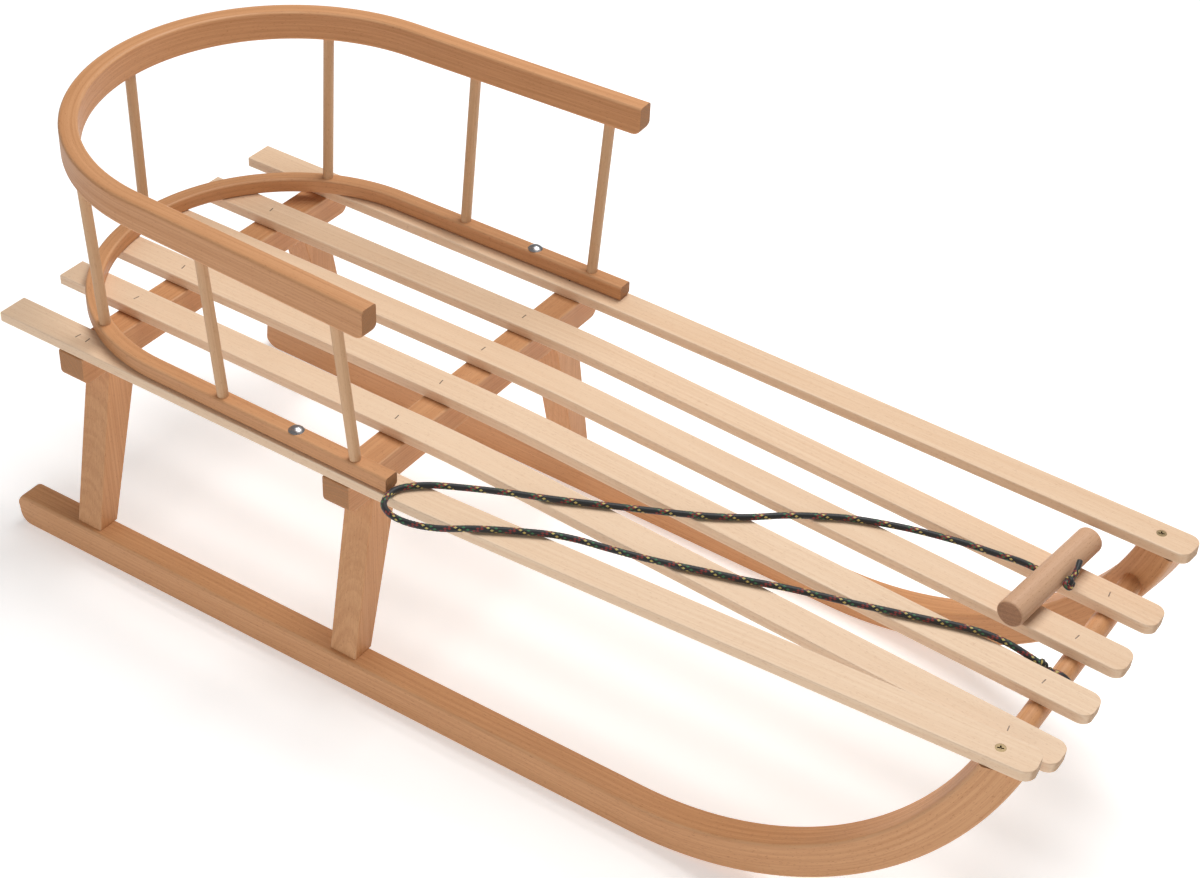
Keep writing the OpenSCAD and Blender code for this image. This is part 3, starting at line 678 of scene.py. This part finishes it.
# slats
slat = dict(length=1000, width=30, thickness=10, top=236, bendX=396.5, riseX=435, soft=0.15,
            corner=10, edge=0.0011, arris=0.0009, outerArris=0.0006, innerY=31, secondY=93.5, outerY=168,
            outerFrontY=147, noseDrop=32, hornRise=5)


def bendShare(x, start):
    t = (x - start) / (slat["length"] - start)
    soft = slat["soft"]
    if t <= 0:
        return 0
    return t * t / (2 * soft * (1 - soft / 2)) if t < soft else (t - soft / 2) / (1 - soft / 2)


def slatSpot(k, x):
    # the middle of slat k's top at x
    side = -1 if k <= 3 else 1
    outer = k in (1, 6)
    bend = bendShare(x, slat["bendX"])
    if outer:
        y = slat["outerY"] + (slat["outerFrontY"] - slat["outerY"]) * bend
        rise = slat["hornRise"] * bendShare(x, slat["riseX"])
    else:
        y = slat["secondY"] if k in (2, 5) else slat["innerY"]
        rise = -slat["noseDrop"] * bend
    return x, side * y, slat["top"] + rise


def cornerSteps(radius, count=8):
    # distances from an end at which a rounded corner has its points
    return [radius * (1 - math.cos(math.radians(90 * i / count))) for i in range(count + 1)]


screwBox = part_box("front_screws")
screwHole = dict(diameter=10.5, depth=3.4, tip=5, headRadius=5, above=2)


def countersink(piece, side):
    # the wells that the horn screws' heads sit in
    x = (screwBox[0][0] + screwBox[1][0]) / 2
    y = side * (screwBox[1][1] - screwHole["headRadius"] / 1000)
    above = screwHole["above"] / 1000
    top = screwBox[1][2] + above
    mesh = bpy.data.meshes.new("cutter")
    work = bmesh.new()
    depth = screwHole["depth"] / 1000 + above
    bmesh.ops.create_cone(work, cap_ends=True, segments=48, radius1=screwHole["tip"] / 2000,
                          radius2=screwHole["diameter"] / 2000, depth=depth,
                          matrix=Matrix.Translation((x, y, top - depth / 2)))
    work.to_mesh(mesh)
    work.free()
    cutter = bpy.data.objects.new("cutter", mesh)
    bpy.context.scene.collection.objects.link(cutter)
    cut = piece.modifiers.new("well", "BOOLEAN")
    cut.object = cutter
    cut.operation = "DIFFERENCE"
    bake(piece)
    bpy.data.objects.remove(cutter)


def regrain(piece, k):
    # the cut's new corners need their own place in the board
    layers = piece.data.attributes
    place = readVectors(piece.data, "position")
    grain = np.zeros_like(place)
    for i, p in enumerate(place):
        x = (p[0] - rearX) * 1000
        spot = slatSpot(k, x)
        grain[i] = (p[0] - rearX, p[1] - spot[1] / 1000, p[2] - (spot[2] - slat["thickness"] / 2) / 1000)
    layers["grain"].data.foreach_set("vector", grain.ravel())
    layers["fibre"].data.foreach_set("vector", np.tile(np.float32((1, 0, 0)), len(place)))
    layers["board"].data.foreach_set("value", np.full(len(place), toneStep * boardCount, np.float32))
    section = np.float32((slat["width"] / 2000, slat["thickness"] / 2000, 0))
    layers["section"].data.foreach_set("vector", np.tile(section, len(place)))


def makeSlat(k):
    ends = [slat["length"] - d for d in cornerSteps(slat["corner"])]
    xs = sorted(set([0, 100, 200, 300] + list(range(380, 980, 15)) + ends))
    line = []
    for x in xs:
        px, py, pz = slatSpot(k, x)
        line.append(at(px, py, pz - slat["thickness"] / 2))
    piece = sweepBoard("slat_wood_%d" % k, line, slat["width"] / 1000, slat["thickness"] / 1000,
                       slat["edge"], slatWood)
    long = readVectors(piece.data, "grain")[:, 0].max()
    roundEnd(piece, lambda s: long - s, 1, 0, slat["corner"] / 1000, slat["width"] / 2000, (0, 1, 0),
             flipOf(piece, 1))
    if k in (1, 6):
        countersink(piece, -1 if k == 1 else 1)
        regrain(piece, k)
    settle(piece, bevel=slat["outerArris" if k in (1, 6) else "arris"])
    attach(piece, "sled")
    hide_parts("slat_%d" % k)


for k in range(1, 7):
    makeSlat(k)
print("six slats made")

# runners
runner = dict(y=194, width=26, height=33, lean=5.1, toe=0.7, curlX=681, curlR=325, tail=1, edge=0.0032,
              tailTop=7, tailSole=12)


def runnerMatrix():
    place = Matrix.Translation((rearX, runner["y"] / 1000, 0))
    toe = Matrix.Rotation(math.radians(-runner["toe"]), 4, "Z")
    return place @ (toe @ Matrix.Rotation(math.radians(runner["lean"]), 4, "X"))


def makeRunner(side, name):
    half = runner["height"] / 2
    middle = -runner["width"] / 2
    xs = [-runner["tail"] + d for d in cornerSteps(runner["tailSole"])] + list(range(40, runner["curlX"], 40))
    line = [Vector((x, middle, half)) for x in xs]
    for i in range(0, 81, 2):
        a = math.radians(i)
        r = runner["curlR"] - half
        line.append(Vector((runner["curlX"] + r * math.sin(a), middle, runner["curlR"] - r * math.cos(a))))
    turn = runnerMatrix()
    line = [turn @ (p / 1000) for p in line]
    piece = sweepBoard("runner_wood_" + name, line, runner["width"] / 1000, runner["height"] / 1000,
                       runner["edge"], frameWood, 4)
    up = turn.to_3x3() @ Vector((0, 0, 1))
    flip = flipOf(piece, 2)
    for sign, corner in ((1, runner["tailTop"]), (-1, runner["tailSole"])):
        roundEnd(piece, lambda s: s, 2, sign * flip, corner / 1000, half / 1000, tuple(up), flip)
    work = bmesh.new()
    work.from_mesh(piece.data)
    # planed flat at the ground, and cut level under the outer slat
    under = slatSpot(6, 970)[2] - slat["thickness"]
    for spot, normal in ((Vector((0, 0, 0)), (0, 0, -1)), (Vector((0, 0, under / 1000)), (0, 0, 1))):
        cut = bmesh.ops.bisect_plane(work, geom=work.verts[:] + work.edges[:] + work.faces[:], plane_co=spot,
                                     plane_no=normal, clear_outer=True)
        loose = [e for e in cut["geom_cut"] if isinstance(e, bmesh.types.BMEdge)]
        bmesh.ops.contextual_create(work, geom=loose)
    if side < 0:
        bmesh.ops.transform(work, matrix=Matrix.Scale(-1, 4, (0, 1, 0)), verts=work.verts)
    work.to_mesh(piece.data)
    work.free()
    if side < 0:
        fibre = readVectors(piece.data, "fibre") * np.float32((1, -1, 1))
        piece.data.attributes["fibre"].data.foreach_set("vector", fibre.ravel())
    settle(piece, bevel=0.0012)
    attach(piece, "sled")
    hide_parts("runner_" + name)


makeRunner(1, "left")
makeRunner(-1, "right")
print("runners made")

# hoops
rail = dict(radius=193, tail=5, flare=2.2, width=17, height=28.5, front=431, bottom=398.5,
            edge=0.003, corner=9)
base = dict(radius=179, tail=2, flare=0.4, width=15, height=15, front=433, bottom=236,
            edge=0.0026, corner=3)


def hoopSpot(s, x):
    # how far from the middle the hoop's centre line is at x
    cx = s["radius"] - s["tail"]
    r = s["radius"] - s["width"] / 2
    flare = math.radians(s["flare"])
    knee = cx - r * math.sin(flare)
    if x < knee:
        return math.sqrt(r * r - (x - cx) ** 2)
    return r * math.cos(flare) + (x - knee) * math.tan(flare)


def makeHoop(s, name, node):
    cx = s["radius"] - s["tail"]
    r = s["radius"] - s["width"] / 2
    flare = math.radians(s["flare"])
    z = s["bottom"] + s["height"] / 2
    arm = (s["front"] - cx + r * math.sin(flare)) / math.cos(flare)
    reach = [arm - d for d in cornerSteps(s["corner"], 6)] + list(range(int(arm) - 12, 10, -30))
    left = [(cx - r * math.sin(flare) + t * math.cos(flare), r * math.cos(flare) + t * math.sin(flare))
            for t in reach]
    bend = []
    steps = 72
    for i in range(steps + 1):
        a = math.pi / 2 + flare + (math.pi - 2 * flare) * i / steps
        bend.append((cx + r * math.cos(a), r * math.sin(a)))
    right = [(x, -y) for x, y in reversed(left)]
    line = [at(x, y, z) for x, y in left + bend + right]
    piece = sweepBoard(name, line, s["width"] / 1000, s["height"] / 1000, s["edge"], hoopWood, 4)
    long = readVectors(piece.data, "grain")[:, 0].max()
    flip = flipOf(piece, 2)
    for gone in (lambda v: v, lambda v: long - v):
        roundEnd(piece, gone, 2, -flip, s["corner"] / 1000, s["height"] / 2000, (0, 0, 1), flip)
    settle(piece, bevel=0.0016)
    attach(piece, "backrest")
    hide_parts(node)


makeHoop(rail, "rail_wood", "upper_rail")
makeHoop(base, "base_hoop_wood", "base_hoop")
print("hoops made")


# dowels: spindles, front bar and handle
def makeDowel(name, ends, diameter, material, body, nodes, sides=28, bevel=0.0, rings=6):
    a, b = Vector(ends[0]), Vector(ends[1])
    piece = pathMesh(name, [a + (b - a) * i / rings for i in range(rings + 1)])
    useTree(piece, dowelTree, {"Width": diameter, "Steps": sides, "Material": material})
    bake(piece)
    tagBoard(piece, 1, 1)
    settle(piece, bevel=bevel, steps=3)
    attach(piece, body)
    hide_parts(*nodes)
    return piece


spindle = dict(diameter=10, sunk=4, pairs=(396, 253, 101))


def makeSpindle(i):
    if i == 4:
        foot, head = (base["width"] / 2 - base["tail"], 0), (rail["width"] / 2 - rail["tail"], 0)
    else:
        side = -1 if i < 4 else 1
        x = spindle["pairs"][i - 1 if i < 4 else 7 - i]
        foot, head = (x, side * hoopSpot(base, x)), (x, side * hoopSpot(rail, x))
    low = base["bottom"] + base["height"] - spindle["sunk"]
    high = rail["bottom"] + spindle["sunk"]
    makeDowel("spindle_wood_%d" % i, (at(*foot, low), at(*head, high)), spindle["diameter"] / 1000, pegWood,
              "backrest", ["spindle_%d" % i])


for i in range(1, 8):
    makeSpindle(i)
frontBar = dict(diameter=19, sides=48)
barEnds = ((barCentre.x, barBox[0][1], barCentre.z), (barCentre.x, barBox[1][1], barCentre.z))
makeDowel("front_bar_wood", barEnds, frontBar["diameter"] / 1000, frameWood, "sled",
          ["front_bar"], frontBar["sides"])
handle = dict(x=912, y=68, turn=6.3, length=124, diameter=24, sides=64, arris=0.0018, rings=12)
handleZ = (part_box("pull_handle")[0][2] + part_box("pull_handle")[1][2]) / 2
turned = math.radians(handle["turn"])
reach = Vector((math.sin(turned), math.cos(turned), 0)) * handle["length"] / 2000
middle = Vector((rearX + handle["x"] / 1000, handle["y"] / 1000, handleZ))
handlePiece = makeDowel("handle_wood", (middle - reach, middle + reach), handle["diameter"] / 1000,
                        handleWood, "sled", ["pull_handle"], handle["sides"],
                        handle["arris"], handle["rings"])
print("dowels made")

# beams and legs
beam = dict(rear=70, middle=368, width=28.5, height=29, length=368, corner=9)
leg = dict(topY=152.5, topW=35, footW=22.5, sunk=1.5)


def makePrism(name, outline, x0, x1, material, grainAxis, nodes, bevel):
    # an outline in the Y-Z plane carried from x0 to x1; grainAxis 1 runs along Y, 2 along Z
    mesh = bpy.data.meshes.new(name)
    work = bmesh.new()
    rings = [[work.verts.new(at(x, y, z)) for y, z in outline] for x in (x0, x1)]
    work.faces.new(rings[0])
    work.faces.new(rings[1][::-1])
    for i in range(len(outline)):
        j = (i + 1) % len(outline)
        work.faces.new((rings[0][i], rings[0][j], rings[1][j], rings[1][i]))
    work.to_mesh(mesh)
    work.free()
    piece = bpy.data.objects.new(name, mesh)
    bpy.context.scene.collection.objects.link(piece)
    mesh.materials.append(material)
    settle(piece, bevel=bevel, steps=3)
    mesh = piece.data
    place = readVectors(mesh, "position")
    centre = (place.min(0) + place.max(0)) / 2
    local = place - centre
    grain = np.stack([local[:, grainAxis], local[:, 0], local[:, 3 - grainAxis]], 1).astype(np.float32)
    layer = mesh.attributes.new("grain", "FLOAT_VECTOR", "POINT")
    layer.data.foreach_set("vector", grain.ravel())
    fibre = np.zeros_like(grain)
    fibre[:, grainAxis] = 1
    mesh.attributes.new("fibre", "FLOAT_VECTOR", "POINT").data.foreach_set("vector", fibre.ravel())
    size = np.abs(grain).max(0)
    tagBoard(piece, 2 * size[1], 2 * size[2])
    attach(piece, "sled")
    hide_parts(*nodes)


def makeBeam(name, x, node):
    top = slat["top"] - slat["thickness"]
    low = top - beam["height"]
    half = beam["length"] / 2
    r = beam["corner"]
    outline = [(-half, top)]
    for cy, first in ((-half + r, 180), (half - r, 270)):
        turns = [math.radians(first + a) for a in range(0, 91, 10)]
        outline += [(cy + r * math.cos(a), low + r + r * math.sin(a)) for a in turns]
    outline.append((half, top))
    makePrism(name, outline, x, x + beam["width"], frameWood, 1, [node], 0.0012)


def makeLeg(name, x, side, node):
    top = slat["top"] - slat["thickness"] - beam["height"]
    lean, toe = math.radians(runner["lean"]), math.radians(runner["toe"])
    foot = runner["height"]
    # the runner's inner face at the leg's foot
    inner = (runner["y"] - (x + beam["width"] / 2) * math.tan(toe) - foot * math.tan(lean)
             - runner["width"] / math.cos(lean))
    low = foot - leg["sunk"]
    outline = [(inner, low), (inner + leg["footW"], low), (leg["topY"], top),
               (leg["topY"] - leg["topW"], top)]
    makePrism(name, [(side * y, z) for y, z in outline], x, x + beam["width"], frameWood, 2, [node], 0.0012)


makeBeam("rear_beam_wood", beam["rear"], "rear_beam")
makeBeam("middle_beam_wood", beam["middle"], "middle_beam")
for place, x in (("rear", beam["rear"]), ("middle", beam["middle"])):
    for side, hand in ((1, "left"), (-1, "right")):
        makeLeg("leg_wood_%s_%s" % (place, hand), x, side, "leg_%s_%s" % (place, hand))
print("beams and legs made")


# metal
def metalMaterial(name, colour, roughness, scratch, grime):
    material, tree, link, shader = newMaterial(name)
    shader.inputs["Metallic"].default_value = 1
    spot = addNode(tree, "ShaderNodeTexCoord")
    fine = addNode(tree, "ShaderNodeTexNoise")
    fine.inputs["Scale"].default_value = 900
    fine.inputs["Detail"].default_value = 4
    broad = addNode(tree, "ShaderNodeTexNoise")
    broad.inputs["Scale"].default_value = 160
    for node in (fine, broad):
        link(spot.outputs["Object"], node.inputs["Vector"])
    tint = addNode(tree, "ShaderNodeMix", data_type="RGBA")
    link(math2(tree, "MULTIPLY", broad.outputs["Fac"], grime), tint.inputs["Factor"])
    tint.inputs["A"].default_value = colour + (1,)
    tint.inputs["B"].default_value = tuple(0.35 * c for c in colour) + (1,)
    link(tint.outputs["Result"], shader.inputs["Base Color"])
    link(math2(tree, "MULTIPLY_ADD", fine.outputs["Fac"], scratch, roughness), shader.inputs["Roughness"])
    addBump(tree, shader, fine.outputs["Fac"], 0.2, 0.0001)
    return material


chrome = metalMaterial("brightZinc", (0.62, 0.61, 0.62), 0.2, 0.2, 0.6)
steel = metalMaterial("plainZinc", (0.62, 0.63, 0.65), 0.28, 0.2, 0.4)
yellowZinc = metalMaterial("yellowZinc", (0.34, 0.25, 0.14), 0.38, 0.2, 0.8)
stapleWire = metalMaterial("stapleWire", (0.26, 0.2, 0.16), 0.4, 0.2, 0.7)


def dress(node, material):
    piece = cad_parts[node]
    piece.data.materials.clear()
    piece.data.materials.append(material)


for node, material in (("backrest_bolts", chrome), ("front_screws", yellowZinc), ("washer_left", steel),
                       ("washer_right", steel), ("nut_left", steel), ("nut_right", steel)):
    dress(node, material)

# staples: dark crowns pressed into the slats over each beam and the bar
staple = dict(crown=6.2, wire=1.1)


def stapleTree():
    tree, source, result = newGroup("stapleRow", "GeometryNodeTree", [
        ("Geometry", "NodeSocketGeometry", None), ("Crown", "NodeSocketFloat", 0.006),
        ("Wire", "NodeSocketFloat", 0.001), ("Material", "NodeSocketMaterial", None)],
        [("Geometry", "NodeSocketGeometry")])
    link = tree.links.new
    points = addNode(tree, "GeometryNodeMeshToPoints")
    link(source.outputs["Geometry"], points.inputs["Mesh"])
    size = addNode(tree, "ShaderNodeCombineXYZ")
    link(source.outputs["Wire"], size.inputs[0])
    link(source.outputs["Crown"], size.inputs[1])
    link(source.outputs["Wire"], size.inputs[2])
    crown = addNode(tree, "GeometryNodeMeshCube")
    link(size.outputs[0], crown.inputs["Size"])
    spread = addNode(tree, "GeometryNodeInstanceOnPoints")
    link(points.outputs["Points"], spread.inputs["Points"])
    link(crown.outputs["Mesh"], spread.inputs["Instance"])
    turn = addNode(tree, "FunctionNodeRandomValue", data_type="FLOAT_VECTOR")
    turn.inputs["Min"].default_value = (0, 0, -0.22)
    turn.inputs["Max"].default_value = (0, 0, 0.22)
    turn.inputs["Seed"].default_value = 4
    link(turn.outputs["Value"], spread.inputs["Rotation"])
    return endTree(tree, spread.outputs["Instances"], source, result)


def staplePlaces():
    places = []
    for k in range(1, 7):
        xs = [beam["rear"] + beam["width"] * 0.35, beam["middle"] + beam["width"] * 0.3]
        xs += [beam["rear"] + beam["width"] * 0.75] if k in (1, 6) else [(barCentre.x - rearX) * 1000 - 3]
        places += [at(*slatSpot(k, x)) + Vector((0, 0, (0.08 - staple["wire"] / 2) / 1000)) for x in xs]
    return places


stapleRow = pathMesh("staple_crowns", staplePlaces())
useTree(stapleRow, stapleTree(), {"Crown": staple["crown"] / 1000, "Wire": staple["wire"] / 1000,
                                  "Material": stapleWire})
settle(stapleRow, bevel=0.0002)
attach(stapleRow, "sled")
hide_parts("staples")
print("metal made")


# floor and lights
def addFloor():
    mesh = bpy.data.meshes.new("floor")
    reach = 9
    corners = [(-reach, -reach, 0), (reach, -reach, 0), (reach, reach, 0), (-reach, reach, 0)]
    mesh.from_pydata(corners, [], [(0, 1, 2, 3)])
    floor = bpy.data.objects.new("floor", mesh)
    bpy.context.scene.collection.objects.link(floor)
    material, _, _, shader = newMaterial("paleFloor")
    shader.inputs["Base Color"].default_value = (0.93, 0.93, 0.93, 1)
    shader.inputs["Roughness"].default_value = 0.9
    shader.inputs["Specular IOR Level"].default_value = 0.1
    shader.inputs["Emission Color"].default_value = (1, 1, 1, 1)
    shader.inputs["Emission Strength"].default_value = 0.36
    mesh.materials.append(material)


def addLight(name, spot, aim, size, power, colour=(1, 1, 1)):
    data = bpy.data.lights.new(name, "AREA")
    data.shape = "SQUARE"
    data.size = size
    data.energy = power
    data.color = colour
    light = bpy.data.objects.new(name, data)
    bpy.context.scene.collection.objects.link(light)
    light.location = spot
    light.rotation_euler = (Vector(aim) - Vector(spot)).to_track_quat("-Z", "Y").to_euler()


addFloor()
addLight("key", (0.1, 0.9, 2.6), (0, 0, 0.1), 1.6, 62)
addLight("fill", (0.6, -2.8, 1.2), (0, 0, 0.2), 1.8, 19)
world = bpy.data.worlds.new("studio")
world.use_nodes = True
backdrop = world.node_tree.nodes["Background"]
backdrop.inputs["Color"].default_value = (1, 1, 1, 1)
sight = addNode(world.node_tree, "ShaderNodeLightPath")
lightUp = math2(world.node_tree, "MULTIPLY_ADD", sight.outputs["Is Camera Ray"], 0.78, 0.22)
world.node_tree.links.new(lightUp, backdrop.inputs["Strength"])
bpy.context.scene.world = world
bpy.context.scene.view_settings.view_transform = "Standard"
print("floor and lights placed")
